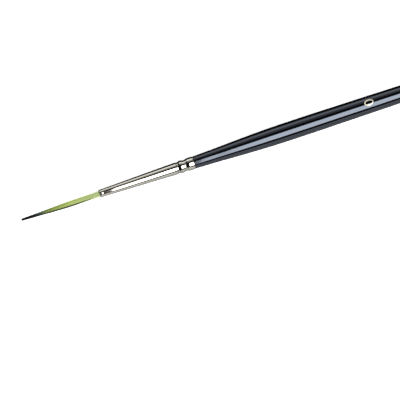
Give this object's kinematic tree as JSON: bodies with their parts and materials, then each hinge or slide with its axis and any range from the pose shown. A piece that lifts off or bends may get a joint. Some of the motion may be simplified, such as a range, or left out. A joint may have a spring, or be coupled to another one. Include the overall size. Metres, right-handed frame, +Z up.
{
  "type": "fine detail brush",
  "caption": "Fine detail paint brush: long slender flexible tuft in a conical metal ferrule with a double crimp, on a lacquered wooden handle with a belly and a tapering tail.",
  "frame": {"origin": "on the table under the middle of the brush's length", "axes": "+Z up, +X along the brush's axis towards the tail of the handle, so the tuft points to -X"},
  "size_m": [0.19, 0.0056, 0.0056],
  "materials": {
    "handle_lacquer": "gloss",
    "gold_foil": "satin",
    "nickel_plate": "polished",
    "wood_glue": "satin",
    "epoxy": "gloss",
    "waxed_thread": "matte",
    "hair": "satin"
  },
  "bodies": {
    "handle_and_ferrule": {"handle": "handle_lacquer", "size_mark": "gold_foil", "ferrule": "nickel_plate", "handle_glue": "wood_glue", "root_plug": "epoxy", "binding_thread": "waxed_thread", "hair_base": "hair"},
    "tuft_lower": {"hair_lower": "hair"},
    "tuft_middle": {"hair_middle": "hair"},
    "tuft_upper": {"hair_upper": "hair"},
    "tuft_tip": {"hair_tip": "hair"}
  },
  "joints": [
    {"name": "tuft_bend_lower", "type": "hinge", "parent": "handle_and_ferrule", "child": "tuft_lower", "pos_m": [-0.0733, 0, 0.00279], "axis": [0, 0, 1], "range_deg": [-16, 16], "stiffness_Nm_per_rad": 0.00043},
    {"name": "tuft_bend_middle", "type": "hinge", "parent": "tuft_lower", "child": "tuft_middle", "pos_m": [-0.0795, 0, 0.00279], "axis": [0, 0, 1], "range_deg": [-19, 19], "stiffness_Nm_per_rad": 0.00038},
    {"name": "tuft_bend_upper", "type": "hinge", "parent": "tuft_middle", "child": "tuft_upper", "pos_m": [-0.0857, 0, 0.00279], "axis": [0, 0, 1], "range_deg": [-22, 22], "stiffness_Nm_per_rad": 0.0001},
    {"name": "tuft_bend_tip", "type": "hinge", "parent": "tuft_upper", "child": "tuft_tip", "pos_m": [-0.0919, 0, 0.00279], "axis": [0, 0, 1], "range_deg": [-25, 25], "stiffness_Nm_per_rad": 0.000012}
  ]
}
